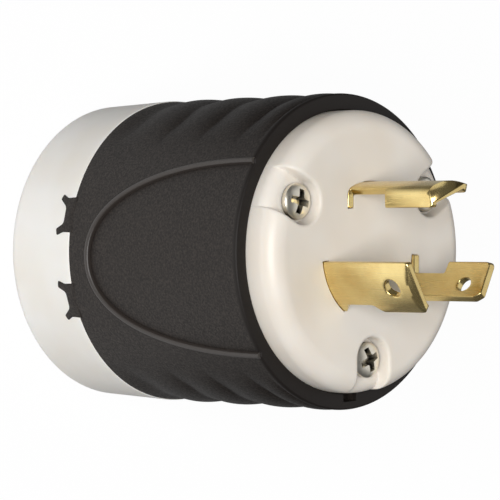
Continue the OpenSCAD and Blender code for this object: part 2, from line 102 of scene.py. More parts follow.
def linear(hex_colour):
    """An sRGB hex colour as a linear colour with alpha 1."""
    channels = [int(hex_colour[i:i + 2], 16) / 255 for i in (1, 3, 5)]
    return [c / 12.92 if c <= 0.04045 else ((c + 0.055) / 1.055) ** 2.4 for c in channels] + [1.0]


def add(tree, kind, inputs=None, **settings):
    """Adds a shader node: settings are its properties, and inputs are values or sockets to link."""
    made = tree.nodes.new("ShaderNode" + kind)
    for key, value in settings.items():
        setattr(made, key, value)
    for key, value in (inputs or {}).items():
        if isinstance(value, bpy.types.NodeSocket):
            tree.links.new(value, made.inputs[key])
        else:
            made.inputs[key].default_value = value
    return made


def empty_material(name):
    """A material with no nodes yet, and its node tree."""
    material = bpy.data.materials.new(name)
    material.use_nodes = True
    material.node_tree.nodes.clear()
    return material, material.node_tree


def white_sweep():
    """Matt paper floor that shows as white behind the plug, keeps a faint shadow and bounces soft light.

    Glossy rays see it glow only over a patch in front of the plug: a painted reflection, with no card there.
    It puts a painted sheen on the panel and the near sides of the blades and leaves the thumb grips dark."""
    material, tree = empty_material("white_paper_sweep")
    paper = add(tree, "BsdfDiffuse", {"Color": linear("#bdbdbd")})
    place = add(tree, "SeparateXYZ", {0: add(tree, "TexCoord").outputs["Object"]})
    side = add(tree, "Math", {0: place.outputs[0]}, operation="ABSOLUTE")
    across = add(tree, "MapRange", {"Value": side.outputs[0], "From Min": 130 * MM, "From Max": 40 * MM,
                                    "To Min": 0.12, "To Max": 1.4}, interpolation_type="SMOOTHSTEP")
    ahead = add(tree, "MapRange", {"Value": place.outputs[1], "From Min": 0.0, "From Max": -45 * MM,
                                   "To Min": 0.3, "To Max": 1.0}, interpolation_type="SMOOTHSTEP")
    # Painted reflection: a patch of floor that glows for glossy rays only, with no lamp, to put a painted sheen
    # on the panel and blades
    reflection_patch = add(tree, "Math", {0: across.outputs[0], 1: ahead.outputs[0]}, operation="MULTIPLY")
    ray = add(tree, "LightPath")
    white = add(tree, "Math", {0: ray.outputs["Is Camera Ray"], 1: 1.06}, operation="MULTIPLY")
    strength = add(tree, "Math", {0: ray.outputs["Is Glossy Ray"], 1: reflection_patch.outputs[0], 2: white.outputs[0]},
                   operation="MULTIPLY_ADD")
    glow = add(tree, "Emission", {"Color": linear("#ffffff"), "Strength": strength.outputs[0]})
    seen = add(tree, "Math", {0: ray.outputs["Is Camera Ray"], 1: ray.outputs["Is Glossy Ray"]},
               operation="MAXIMUM")
    share = add(tree, "Math", {0: seen.outputs[0], 1: 0.9}, operation="MULTIPLY")
    both = add(tree, "MixShader", {0: share.outputs[0], 1: paper.outputs[0], 2: glow.outputs[0]})
    add(tree, "OutputMaterial", {"Surface": both.outputs[0]})
    return material


def floor(half_width):
    """A square of floor under the plug."""
    mesh = bpy.data.meshes.new("floor")
    mesh.from_pydata([(x, y, 0) for x, y in ((-1, -1), (1, -1), (1, 1), (-1, 1))], [], [(0, 1, 2, 3)])
    mesh.transform(Matrix.Scale(half_width, 4))
    mesh.materials.append(white_sweep())
    piece = bpy.data.objects.new("floor", mesh)
    bpy.context.scene.collection.objects.link(piece)


def softbox(name, azimuth, elevation, distance, size, watts):
    """A square area light that faces the plug's middle."""
    data = bpy.data.lights.new(name, "AREA")
    data.size = size
    data.energy = watts
    away = Vector((math.sin(azimuth) * math.cos(elevation), -math.cos(azimuth) * math.cos(elevation),
                   math.sin(elevation)))
    lamp = bpy.data.objects.new(name, data)
    facing = away.to_track_quat("Z", "Y").to_matrix().to_4x4()
    lamp.matrix_world = Matrix.Translation(middle + distance * away) @ facing
    bpy.context.scene.collection.objects.link(lamp)


floor(half_width=6)
softbox("key_softbox", math.radians(0), math.radians(40), distance=1.6, size=0.8, watts=24)
softbox("back_softbox", math.radians(180), math.radians(44), distance=1.2, size=1.3, watts=3.4)

world = bpy.data.worlds.new("studio")
world.use_nodes = True
world.node_tree.nodes.clear()
sky = add(world.node_tree, "Background", {"Color": linear("#f4f5f7"), "Strength": 0.13})
add(world.node_tree, "OutputWorld", {"Surface": sky.outputs[0]})
bpy.context.scene.world = world


# ---- Rear housing: white nylon, injection moulded, with the cap that shows behind the grip ----
# One revolved shell: rear wall with the cord opening, a rounded cap, and the tube under the sleeve.

def arc(centre, radius, start, end, steps=8):
    """Points on a circle's arc in the (r, z) plane, from one angle to another in degrees."""
    angles = np.radians(np.linspace(start, end, steps + 1))
    return np.array(centre) + radius * np.stack([np.cos(angles), np.sin(angles)], 1)


def dense(points, spacing):
    """A polyline with extra points along its straight stretches, no further apart than the spacing."""
    out = []
    for a, b in zip(points[:-1], points[1:]):
        count = max(1, int(np.ceil(np.linalg.norm(b - a) / spacing)))
        out.append(a + (b - a) * np.linspace(0, 1, count, endpoint=False)[:, None])
    return np.concatenate(out + [points[-1:]])


def grid_faces(rows, columns, wrap_rows=False, wrap_columns=False):
    """Quads of a grid of points, numbered row by row; wrapping joins the last row or column to the first."""
    i = np.arange(rows if wrap_rows else rows - 1)
    j = np.arange(columns if wrap_columns else columns - 1)
    i, j = np.meshgrid(i, j, indexing="ij")
    i2, j2 = (i + 1) % rows, (j + 1) % columns
    quads = [i * columns + j, i2 * columns + j, i2 * columns + j2, i * columns + j2]
    return np.stack(quads, -1).reshape(-1, 4)


def revolved(profile, count=160):
    """A closed (r, z) profile, listed anticlockwise, turned about Z: x = r cos t, y = r sin t."""
    profile = np.asarray(profile, float)
    t = np.linspace(0, 2 * math.pi, count, endpoint=False)[:, None]
    r, z = profile[:, 0], profile[:, 1]
    points = np.stack([r * np.cos(t), r * np.sin(t), z + 0 * t], -1).reshape(-1, 3)
    return points, grid_faces(count, len(profile), True, True)


def turned(part, degrees):
    """A part of a mesh turned about Z."""
    points, faces = part
    c, s = math.cos(math.radians(degrees)), math.sin(math.radians(degrees))
    return points @ np.array([[c, s, 0], [-s, c, 0], [0, 0, 1]]), faces


def moved(part, offset):
    """A part of a mesh moved by an offset."""
    return part[0] + np.array(offset, float), part[1]


def joined(parts):
    """Closed parts put into one mesh: all points, and all faces renumbered to match."""
    starts = np.cumsum([0] + [len(points) for points, _ in parts[:-1]])
    points = np.concatenate([points for points, _ in parts])
    faces = [[int(v) + int(start) for v in face]
             for start, (_, faces) in zip(starts, parts) for face in faces]
    return points, faces


def new_piece(name, part, material, sharp=40):
    """A Blender object from points in millimetres and faces, shaded smooth below an edge angle."""
    points, faces = part
    mesh = bpy.data.meshes.new(name)
    mesh.from_pydata((points * MM).tolist(), [], faces.tolist() if isinstance(faces, np.ndarray) else faces)
    mesh.update()
    if material is not None:
        mesh.materials.append(material)
    mesh.shade_smooth()
    mesh.set_sharp_from_angle(angle=math.radians(sharp))
    piece = bpy.data.objects.new(name, mesh)
    bpy.context.scene.collection.objects.link(piece)
    return piece


def carved(piece, cutter_part, sharp=40):
    """Cuts a closed part out of a piece, and leaves the result in the piece's own mesh."""
    cutter = new_piece(piece.name + "_cutter", cutter_part, None)
    modifier = piece.modifiers.new("carve", "BOOLEAN")
    modifier.operation = "DIFFERENCE"
    modifier.solver = "EXACT"
    modifier.object = cutter
    bpy.context.view_layer.update()
    result = bpy.data.meshes.new_from_object(piece.evaluated_get(bpy.context.evaluated_depsgraph_get()))
    piece.modifiers.remove(modifier)
    bpy.data.objects.remove(cutter)
    piece.data = result
    result.shade_smooth()
    result.set_sharp_from_angle(angle=math.radians(sharp))
    return piece


def stadium(radius, travel, z0, z1, steps=16):
    """An upright slot with round ends: half a circle at each end of its travel along +X."""
    right = arc((0, 0), radius, -90, 90, steps)
    left = arc((-travel, 0), radius, 90, 270, steps)
    loop = np.concatenate([right, left])
    count = len(loop)
    points = np.concatenate([np.c_[loop, np.full(count, z)] for z in (z0, z1)])
    sides = [[i, (i + 1) % count, count + (i + 1) % count, count + i] for i in range(count)]
    return points, sides + [list(range(count))[::-1], list(range(count, 2 * count))]


def moulded_nylon(name, colour, shade):
    """Injection-moulded nylon: a satin, waxy skin that lets a little light in and looks faintly mottled."""
    material, tree = empty_material(name)
    place = add(tree, "TexCoord").outputs["Object"]
    flow = add(tree, "TexNoise", {"Vector": place, "Scale": 1 / (14 * MM), "Detail": 2.0, "Roughness": 0.5})
    tone = add(tree, "MapRange", {"Value": flow.outputs[0], "From Min": 0.35, "From Max": 0.7})
    tint = add(tree, "Mix", {0: tone.outputs[0], 6: linear(colour), 7: linear(shade)}, data_type="RGBA")
    peel = add(tree, "TexNoise", {"Vector": place, "Scale": 1 / (0.7 * MM), "Detail": 3.0, "Roughness": 0.6})
    gloss = add(tree, "MapRange", {"Value": peel.outputs[0], "To Min": 0.34, "To Max": 0.46})
    skin = add(tree, "Bump", {"Height": peel.outputs[0], "Strength": 0.1, "Distance": 0.03 * MM})
    shader = add(tree, "BsdfPrincipled", {
        "Base Color": tint.outputs[2], "Roughness": gloss.outputs[0], "Normal": skin.outputs[0],
        "IOR": 1.5, "Subsurface Weight": 0.2, "Subsurface Radius": (1.0, 0.8, 0.6),
        "Subsurface Scale": 1.2 * MM})
    add(tree, "OutputMaterial", {"Surface": shader.outputs[0]})
    return material


housing_low, housing_high = corners("rear_housing")
sleeve_low, sleeve_high = corners("grip_sleeve")
tube_r = corners("front_face")[1][0]
cavity_r = tube_r - 2.6
split_z = housing_high[2]
cap_len = 16
cap_front_r = housing_high[0]
cap_taper = 0.7
cap_edge_r = 1.6
rear_wall = 4
ledge_z = corners("cord_seal")[0][2]
seal_ledge = 0.7
cord_r = 10
clamp_angles = (-90, 90)
clamp_head_r = 3.05
clamp_screw_r = corners("clamp_screws")[1][1] - clamp_head_r
clamp_travel = 0.8


def housing_profile():
    """The shell's section, anticlockwise: cord opening, rounded cap, step to the tube, and the bore."""
    mouth, front = 0.7, 0.25
    slope_x = cap_taper / cap_len
    rear_r = cap_front_r - cap_taper + slope_x * cap_edge_r
    outside = np.concatenate([
        [(cord_r, rear_wall)],
        arc((cord_r + mouth, mouth), mouth, 180, 270),
        dense(arc((rear_r - cap_edge_r, cap_edge_r), cap_edge_r, -90, 0, 16), 1.5),
        dense(np.array([(rear_r + 0.02, cap_edge_r + 0.5), (cap_front_r, cap_len - front)]), 1.5),
        arc((cap_front_r - front, cap_len - front), front, 0, 90, 4),
        [(tube_r, cap_len), (tube_r, split_z)]])
    ledge_r = cavity_r - seal_ledge
    bore = [(cavity_r, split_z), (cavity_r, ledge_z), (ledge_r, ledge_z), (ledge_r, rear_wall)]
    return np.concatenate([outside, bore])


cap_nylon = moulded_nylon("white_cap_nylon", "#fbf8f3", "#f4efe6")
rear_housing = new_piece("rear_cap", revolved(housing_profile(), 240), cap_nylon)
slots = joined([turned(moved(stadium(radius, clamp_travel, -1, depth), (clamp_screw_r, 0, 0)), angle)
                for angle in clamp_angles for radius, depth in ((3.3, 2.4), (2.1, rear_wall + 1))])
carved(rear_housing, slots)
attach(rear_housing, "root")
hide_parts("rear_housing")


# ---- Cord clamp: two black nylon jaws on ramps, drawn together by a nickel screw and nut each ----
# They show through the cord opening; the jaws keep their CAD form with its teeth.

def dressed(material, *names):
    """Gives CAD nodes a material."""
    for name in names:
        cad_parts[name].material_slots[0].material = material


def grained_polymer(name, colour, grain_mm, depth_mm, low_gloss, high_gloss):
    """Moulded plastic or rubber with a spark-eroded grain: the grain breaks up every highlight."""
    material, tree = empty_material(name)
    place = add(tree, "TexCoord").outputs["Object"]
    grain = add(tree, "TexNoise",
                {"Vector": place, "Scale": 1 / (grain_mm * MM), "Detail": 2.0, "Roughness": 0.6})
    gloss = add(tree, "MapRange", {"Value": grain.outputs[0], "From Min": 0.3, "From Max": 0.7,
                                   "To Min": low_gloss, "To Max": high_gloss})
    skin = add(tree, "Bump", {"Height": grain.outputs[0], "Strength": 0.6, "Distance": depth_mm * MM})
    shader = add(tree, "BsdfPrincipled", {"Base Color": linear(colour), "Roughness": gloss.outputs[0],
                                          "Normal": skin.outputs[0], "IOR": 1.5})
    add(tree, "OutputMaterial", {"Surface": shader.outputs[0]})
    return material


dressed(grained_polymer("black_jaw_nylon", "#2a2a2b", 0.5, 0.05, 0.4, 0.6), "cord_jaw_left",
        "cord_jaw_right")


# ---- Cord seal: a moulded neoprene disc with slits, under the jaws ----
# Dull and dark, so that it closes the view through the cord opening.

dressed(grained_polymer("dull_neoprene", "#1d1e20", 0.3, 0.04, 0.65, 0.85), "cord_seal")


# ---- Terminals and inserts: turned and stamped brass, with colour-coded binding screws ----
# All of them sit inside the housing and keep their CAD forms.

def machined_metal(name, colour, line_mm, roughness):
    """Turned or stamped metal: fine tool lines and a satin shine."""
    material, tree = empty_material(name)
    place = add(tree, "TexCoord").outputs["Object"]
    lines = add(tree, "TexNoise", {"Vector": place, "Scale": 1 / (line_mm * MM), "Detail": 2.0})
    gloss = add(tree, "MapRange",
                {"Value": lines.outputs[0], "To Min": roughness - 0.06, "To Max": roughness + 0.06})
    skin = add(tree, "Bump", {"Height": lines.outputs[0], "Strength": 0.15, "Distance": 0.02 * MM})
    shader = add(tree, "BsdfPrincipled", {"Base Color": linear(colour), "Metallic": 1.0,
                                          "Roughness": gloss.outputs[0], "Normal": skin.outputs[0]})
    add(tree, "OutputMaterial", {"Surface": shader.outputs[0]})
    return material


def nickel_with_painted_recess_shade():
    """Satin nickel plate darkened where it is closed in: painted shade, so that a cross recess reads as dark.
    """
    material, tree = empty_material("satin_nickel_plate")
    place = add(tree, "TexCoord").outputs["Object"]
    lines = add(tree, "TexNoise", {"Vector": place, "Scale": 1 / (0.5 * MM), "Detail": 2.0})
    gloss = add(tree, "MapRange", {"Value": lines.outputs[0], "To Min": 0.24, "To Max": 0.36})
    # Painted shade: the colour turns dark where ambient occlusion finds the surface closed in, in the cross
    # recess and near the pocket walls
    shade = add(tree, "AmbientOcclusion", {"Distance": 1.2 * MM}, samples=8)
    unoccluded_share = add(tree, "MapRange", {"Value": shade.outputs["AO"], "From Min": 0.35, "From Max": 0.8})
    tint = add(tree, "Mix", {0: unoccluded_share.outputs[0], 6: linear("#2b261c"), 7: linear("#ebe5d6")},
               data_type="RGBA")
    shader = add(tree, "BsdfPrincipled", {"Base Color": tint.outputs[2], "Metallic": 1.0,
                                          "Roughness": gloss.outputs[0]})
    add(tree, "OutputMaterial", {"Surface": shader.outputs[0]})
    return material


nickel = nickel_with_painted_recess_shade()
dressed(machined_metal("turned_brass", "#d2ab60", 0.4, 0.32), "assembly_inserts", "line_terminal_screw",
        "ground_pressure_plate", "line_pressure_plate", "neutral_pressure_plate")
dressed(machined_metal("green_dyed_steel", "#2f7d4a", 0.4, 0.35), "ground_terminal_screw")
dressed(nickel, "neutral_terminal_screw", "clamp_nuts", "clamp_screws")


# ---- Blade carrier: glass-filled nylon disc that clamps the blades' feet against the face ----
# Hidden inside the housing, so it keeps its CAD form.

dressed(moulded_nylon("glass_filled_nylon", "#d9d6ce", "#cdc8bd"), "blade_carrier")


# ---- Blades: brass strip, stamped, eased at the tips, rolled to one circle and brushed lengthwise ----
# Each is one plate carried along its path in plan: a plain arc, or for the ground blade an arc, a bend
# and a flange. They show the notches that lock in a receptacle.

def rounded(points, radii, steps=5):
    """A closed polygon with each corner replaced by a curve that leaves its sides at the given radius."""
    points = np.asarray(points, float)
    out = []
    for i, radius in enumerate(np.broadcast_to(radii, len(points))):
        corner, before, after = points[i], points[i - 1], points[(i + 1) % len(points)]
        if radius == 0:
            out.append(corner[None])
            continue
        to_before, to_after = before - corner, after - corner
        reach = min(radius, 0.49 * np.linalg.norm(to_before), 0.49 * np.linalg.norm(to_after))
        a = corner + to_before / np.linalg.norm(to_before) * reach
        b = corner + to_after / np.linalg.norm(to_after) * reach
        t = np.linspace(0, 1, steps + 1)[:, None]
        out.append((1 - t) ** 2 * a + 2 * t * (1 - t) * corner + t ** 2 * b)
    return np.concatenate(out)


def inset(loop, distance):
    """A closed loop moved towards its left side along the mean normal at each point."""
    ahead = np.roll(loop, -1, 0) - loop
    ahead /= np.linalg.norm(ahead, axis=1)[:, None]
    behind = np.roll(ahead, 1, 0)
    normal = np.stack([-(ahead + behind)[:, 1], (ahead + behind)[:, 0]], 1)
    normal /= np.linalg.norm(normal, axis=1)[:, None]
    cosine = np.clip((normal * np.stack([-ahead[:, 1], ahead[:, 0]], 1)).sum(1), 0.5, 1)
    return loop + distance * normal / cosine[:, None]


def inside(points, loops):
    """Which points lie inside the loops, by counting the edges that a ray towards +u crosses."""
    crossings = np.zeros(len(points), int)
    for loop in loops:
        a, b = loop, np.roll(loop, -1, 0)
        for (ax, ay), (bx, by) in zip(a, b):
            spans = (ay > points[:, 1]) != (by > points[:, 1])
            if spans.any():
                at = ax + (points[:, 1] - ay) / (by - ay if by != ay else 1) * (bx - ax)
                crossings += spans & (points[:, 0] < at)
    return crossings % 2 == 1


def plate(loops, thickness, edge, spacing, steps=3):
    """A flat plate in (u, v, w): the first loop is its outline, anticlockwise, and clockwise ones are holes.

    The rim is a grid: the loops repeated from back to front, moved inwards by edge (1 - cos a) while w rises
    by edge sin a. The two faces are triangles through a grid of inner points at the given spacing."""
    angles = np.radians(np.linspace(0, 90, steps + 1))
    insets = edge * (1 - np.cos(angles))
    heights = thickness / 2 - edge + edge * np.sin(angles)
    insets, heights = np.r_[insets[::-1], insets], np.r_[-heights[::-1], heights]
    points, faces, front, back, start = [], [], [], [], 0
    for loop in loops:
        rings = [np.c_[inset(loop, d), np.full(len(loop), w)] for d, w in zip(insets, heights)]
        points.append(np.concatenate(rings))
        faces += (grid_faces(len(rings), len(loop), wrap_columns=True)[:, ::-1] + start).tolist()
        back.append(start + np.arange(len(loop)))
        front.append(start + (len(rings) - 1) * len(loop) + np.arange(len(loop)))
        start += len(rings) * len(loop)
    rims = [inset(loop, insets[-1]) for loop in loops]
    low, high = rims[0].min(0), rims[0].max(0)
    u, v = np.meshgrid(np.arange(low[0], high[0], spacing[0]), np.arange(low[1], high[1], spacing[1]))
    inner = np.c_[u.ravel() + 0.013, v.ravel() + 0.017]
    margin = 0.3 * min(spacing)
    away = [inside(inner + margin * np.array(d), rims) for d in ((1, 0), (-1, 0), (0, 1), (0, -1))]
    inner = inner[np.all(away, 0)]
    flat = np.concatenate(rims + [inner])
    edges, first = [], 0
    for rim in rims:
        edges += [(first + i, first + (i + 1) % len(rim)) for i in range(len(rim))]
        first += len(rim)
    corner_points, _, triangles, origin = delaunay_2d_cdt([Vector(p) for p in flat], edges, [], 0, 1e-7)[:4]
    triangles = np.array(triangles)
    middles = np.array([p[:] for p in corner_points])[triangles].mean(1)
    triangles = triangles[inside(middles, rims)]
    origin = np.array([o[0] for o in origin])
    sides = ((-thickness / 2, np.concatenate(back), True), (thickness / 2, np.concatenate(front), False))
    for w, ring, flip in sides:
        number = np.r_[ring, start + np.arange(len(inner))]
        points.append(np.c_[inner, np.full(len(inner), w)])
        start += len(inner)
        face = number[origin[triangles]]
        faces += (face[:, ::-1] if flip else face).tolist()
    return np.concatenate(points), faces


def along(part, path):
    """Carries a flat part along a path in plan: u runs along it, v is z, and w points to its outer side."""
    points, faces = part
    centre, normal = path(points[:, 0])
    plan = centre + points[:, 2:3] * normal
    return np.c_[plan, points[:, 1]], faces


def circle_path(radius, angle):
    """An arc about Z: u = 0 lies at the angle, in degrees, and u grows anticlockwise."""
    def path(u):
        t = math.radians(angle) + u / radius
        outwards = np.stack([np.cos(t), np.sin(t)], 1)
        return radius * outwards, outwards
    return path


def hooked_path(radius, start, end, bend_r):
    """An arc from a start angle to an end angle, then a tight bend the same way until it runs along +X."""
    arc_length = radius * math.radians(end - start)
    bend = math.radians(270 - end)
    hub = (radius - bend_r) * np.array([math.cos(math.radians(end)), math.sin(math.radians(end))])

    def path(u):
        on_arc = np.clip(u, None, arc_length)
        on_bend = np.clip(u - arc_length, 0, bend * bend_r)
        on_flange = np.clip(u - arc_length - bend * bend_r, 0, None)
        t = math.radians(start) + on_arc / radius + on_bend / bend_r
        outwards = np.stack([np.cos(t), np.sin(t)], 1)
        arc_points = radius * outwards
        bend_points = hub + bend_r * outwards + on_flange[:, None] * np.array([1.0, 0.0])
        return np.where((u > arc_length)[:, None], bend_points, arc_points), outwards
    return path


blade_t = 1.4
neutral_low, neutral_high = corners("neutral_blade")
blade_out_r = 11.9
blade_mid_r = blade_out_r - blade_t / 2
tip_z = neutral_high[2]
foot_z = neutral_low[2]
face_z = corners("front_face")[1][2]
blade_angles = {"ground": 180, "line": 60, "neutral": 300}
blade_half = 24.5
line_low = -17.5
ground_span = (-23, 20.7)
neutral_barb = (face_z + 0.6, face_z + 2.1)
line_barb = (face_z + 0.4, face_z + 1.0)
notch_top = face_z + 7.75
line_tip_z = tip_z - 1.2
tip_coin = 0.4


def coined(part):
    """Thins a plate over the last bit of the blade's tip, down to two thirds."""
    points, faces = part
    t = np.clip((points[:, 1] - (tip_z - tip_coin)) / tip_coin, 0, 1)
    return np.c_[points[:, :2], points[:, 2] * (1 - 0.33 * t)], faces


def hole(u, z, radius, steps=32):
    """A round hole's outline, clockwise."""
    return arc((u, z), radius, 360, 360 / steps, steps - 1)


def degrees_to_mm(angle):
    """Length along the blade circle's middle line."""
    return blade_mid_r * math.radians(angle)


def notched_edge(edge, inner, front, barb, ramp):
    """Corners of a notch in a blade's edge: a barb between two heights, a wall, and a ramp back out."""
    edge, inner, front = (degrees_to_mm(angle) for angle in (edge, inner, front))
    return [(edge, barb[0]), (inner, barb[1]), (inner, notch_top), (front, notch_top + ramp)]


def neutral_outline():
    """The wide blade: a notch of 9 degrees in its edge, with a ramp at the front of the notch."""
    half = degrees_to_mm(blade_half)
    notch = notched_edge(blade_half, blade_half - 9, blade_half, neutral_barb, 1.3)
    return rounded([(-half, foot_z), (half, foot_z), *notch, (half, tip_z), (-half, tip_z)],
                   [0, 0, 0.2, 0.3, 0.5, 0.5, 1.2, 0.7])


def line_outline():
    """The narrow blade: full width only at its foot, a deep notch, and a narrower shank."""
    low, half, shank = (degrees_to_mm(angle) for angle in (line_low, blade_half, blade_half - 6))
    notch = notched_edge(blade_half, blade_half - 17, blade_half - 6, line_barb, 0.6)
    return rounded([(low, foot_z), (half, foot_z), *notch, (shank, line_tip_z), (low + 0.9, line_tip_z),
                    (low, line_tip_z - 1.1)],
                   [0, 0, 0.2, 0.3, 0.3, 0.4, 0.9, 0.3, 0.3])


hook_bend_r = 0.9
hook_arc_end = blade_angles["ground"] + ground_span[1]
hook_end_x = -7.6


def ground_outline():
    """The hooked blade, unrolled from its far edge to the flange's, with a notch through flange and bend."""
    bend_start = degrees_to_mm(ground_span[1] - ground_span[0])
    bend = hook_bend_r * math.radians(270 - hook_arc_end)
    hub_x = (blade_mid_r - hook_bend_r) * math.cos(math.radians(hook_arc_end))
    width = bend_start + bend + (hook_end_x - hub_x)
    notch = bend_start + 0.35
    return rounded([(0, foot_z), (width, foot_z), (width, face_z), (notch, face_z), (notch, face_z + 8.2),
                    (width, face_z + 8.2), (width, tip_z), (0, tip_z)],
                   [0, 0, 0.3, 0.3, 0.5, 0.4, 0.8, 1.7])


def brushed_brass():
    """Stamped brass brushed along the blade, with fine lengthwise lines."""
    material, tree = empty_material("brushed_stamped_brass")
    place = add(tree, "TexCoord").outputs["Object"]
    drawn_out = add(tree, "Mapping",
                    {"Vector": place, "Scale": (1 / (0.22 * MM), 1 / (0.22 * MM), 1 / (9 * MM))})
    lines = add(tree, "TexNoise",
                {"Vector": drawn_out.outputs[0], "Scale": 1.0, "Detail": 3.0, "Roughness": 0.6})
    stain = add(tree, "TexNoise",
                {"Vector": place, "Scale": 1 / (3.5 * MM), "Detail": 3.0, "Roughness": 0.55})
    tone = add(tree, "MapRange", {"Value": stain.outputs[0], "From Min": 0.35, "From Max": 0.65})
    tint = add(tree, "Mix", {0: tone.outputs[0], 6: linear("#ecd593"), 7: linear("#e2c785")},
               data_type="RGBA")
    streak = add(tree, "MapRange", {"Value": lines.outputs[0], "From Min": 0.3, "From Max": 0.7,
                                    "To Min": 0.92, "To Max": 1.0})
    tint = add(tree, "Mix", {0: 1.0, 6: tint.outputs[2], 7: streak.outputs[0]}, data_type="RGBA",
               blend_type="MULTIPLY")
    gloss = add(tree, "MapRange", {"Value": lines.outputs[0], "From Min": 0.3, "From Max": 0.7,
                                   "To Min": 0.2, "To Max": 0.3})
    skin = add(tree, "Bump", {"Height": lines.outputs[0], "Strength": 0.1, "Distance": 0.02 * MM})
    shader = add(tree, "BsdfPrincipled", {"Base Color": tint.outputs[2], "Metallic": 1.0,
                                          "Roughness": gloss.outputs[0], "Normal": skin.outputs[0]})
    add(tree, "OutputMaterial", {"Surface": shader.outputs[0]})
    return material


foot_end_r = 19.3
foot_half_w = 4.9
terminal_inset = 4.1
terminal_hole_r = 2.05


def blade_foot(angle):
    """The flat foot under the face, turned outwards from the strip, with the hole for its binding screw."""
    low_r = blade_out_r - blade_t
    outline = rounded([(low_r, -foot_half_w), (foot_end_r, -foot_half_w), (foot_end_r, foot_half_w),
                       (low_r, foot_half_w)], 0.6)
    points, faces = plate([outline, hole(foot_end_r - terminal_inset, 0, terminal_hole_r)], blade_t, 0.15,
                          (2, 2))
    return turned((points + [0, 0, foot_z + blade_t / 2], faces), angle)


brass = brushed_brass()
edge_round = 0.18
blade_paths = {
    "neutral": circle_path(blade_mid_r, blade_angles["neutral"]),
    "line": circle_path(blade_mid_r, blade_angles["line"]),
    "ground": hooked_path(blade_mid_r, blade_angles["ground"] + ground_span[0], hook_arc_end, hook_bend_r)}
blade_loops = {
    "neutral": [neutral_outline(), hole(degrees_to_mm(-2.5), tip_z - 4.6, 1.55)],
    "line": [line_outline(), hole(degrees_to_mm(-3.5), line_tip_z - 4.6, 1.38)],
    "ground": [ground_outline()]}
for name, loops in blade_loops.items():
    strip = along(coined(plate(loops, blade_t, edge_round, (0.4, 0.6))), blade_paths[name])
    blade = new_piece(name + "_blade_brass", joined([strip, blade_foot(blade_angles[name])]), brass)
    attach(blade, "root")
    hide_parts(name + "_blade")


# ---- Front face: white nylon disc with a rounded edge and three pockets for the assembly screws ----
# The pockets are U-shaped, open towards the rim over a low rounded sill, and soft along their upper edges.

face_edge_r = 3.35
pocket_z = face_z - 2.6
pocket_half_w = 3.7
sill_edge_r = 2.2
screw_circle_r = tube_r - 5.7
screw_angles = (0, 120, 240)
spigot_z = corners("front_face")[0][2]
pocket_wall = 0.22
pocket_wall_share = 0.9
pocket_round = 0.6


def edge_height(r, top, edge):
    """Height of a disc with a rounded edge: flat, then z = top - edge + sqrt(edge^2 - (r - flat_r)^2)."""
    over = np.clip(r - (tube_r - edge), 0, edge)
    return top - edge + np.sqrt(edge ** 2 - over ** 2)


def pocket_share(r, t):
    """0 in a pocket and 1 on the face: a steep wall round the U-shaped floor, then a parabolic shoulder."""
    share = np.ones_like(r)
    for angle in screw_angles:
        x = r * np.cos(t - math.radians(angle))
        y = np.abs(r * np.sin(t - math.radians(angle)))
        d = np.where(x < screw_circle_r, np.hypot(x - screw_circle_r, y), y) - pocket_half_w
        d = np.where(x < 0, tube_r, d)
        wall = np.clip(d / pocket_wall, 0, 1) * pocket_wall_share
        shoulder = 1 - (1 - np.clip((d - pocket_wall) / pocket_round, 0, 1)) ** 2
        share = np.minimum(share, wall + (1 - pocket_wall_share) * shoulder)
    return share


def face_surface():
    """The face as a polar grid, closest round the pockets; its rings run from the middle out, down and back."""
    t = np.concatenate([np.radians(angle) + np.concatenate([
        np.radians(np.linspace(-60, -22, 26, endpoint=False)),
        np.radians(np.linspace(-22, 22, 180, endpoint=False)),
        np.radians(np.linspace(22, 60, 26, endpoint=False))]) for angle in screw_angles])
    flat_r = tube_r - face_edge_r
    bend = np.radians(np.linspace(0, 90, 15))[1:]
    r = np.r_[np.linspace(0, 12, 14)[1:], np.linspace(12, 15.6, 34)[1:], np.linspace(15.6, flat_r, 22)[1:],
              flat_r + face_edge_r * np.sin(bend)]
    r_grid, t_grid = np.meshgrid(r, t)
    share = pocket_share(r_grid, t_grid)
    floor_height = edge_height(r_grid, pocket_z, sill_edge_r)
    z = (1 - share) * floor_height + share * edge_height(r_grid, face_z, face_edge_r)
    below_r = np.array([tube_r, tube_r, cavity_r - 0.1, cavity_r - 0.1, 6.0])
    below_z = np.array([55.0, split_z, split_z, spigot_z, spigot_z])
    r_all = np.hstack([r_grid, np.tile(below_r, (len(t), 1))])
    z_all = np.hstack([z, np.tile(below_z, (len(t), 1))])
    points = np.stack([r_all * np.cos(t)[:, None], r_all * np.sin(t)[:, None], z_all], -1).reshape(-1, 3)
    rows, columns = z_all.shape
    faces = grid_faces(rows, columns, wrap_rows=True)[:, ::-1].tolist()
    top, bottom = len(points), len(points) + 1
    points = np.concatenate([points, [[0, 0, face_z], [0, 0, spigot_z]]])
    for i in range(rows):
        after = (i + 1) % rows
        faces.append([top, i * columns, after * columns])
        faces.append([bottom, after * columns + columns - 1, i * columns + columns - 1])
    return points, faces


slot_gap = 0.12


def slot_cutter(low_u, high_u, path):
    """A plate a little larger than a blade's strip, from below the face to above it, on the same path."""
    loop = np.array([(low_u - slot_gap, face_z - 4), (high_u + slot_gap, face_z - 4),
                     (high_u + slot_gap, face_z + 1), (low_u - slot_gap, face_z + 1)])
    return along(plate([loop], blade_t + 2 * slot_gap, 0.0, (0.4, 4), 1), path)


def blade_slots():
    """Cutters for the three blades' slots in the face."""
    return [slot_cutter(degrees_to_mm(-blade_half), degrees_to_mm(blade_half), blade_paths["neutral"]),
            slot_cutter(degrees_to_mm(line_low), degrees_to_mm(blade_half), blade_paths["line"]),
            slot_cutter(0, ground_outline()[:, 0].max(), blade_paths["ground"])]


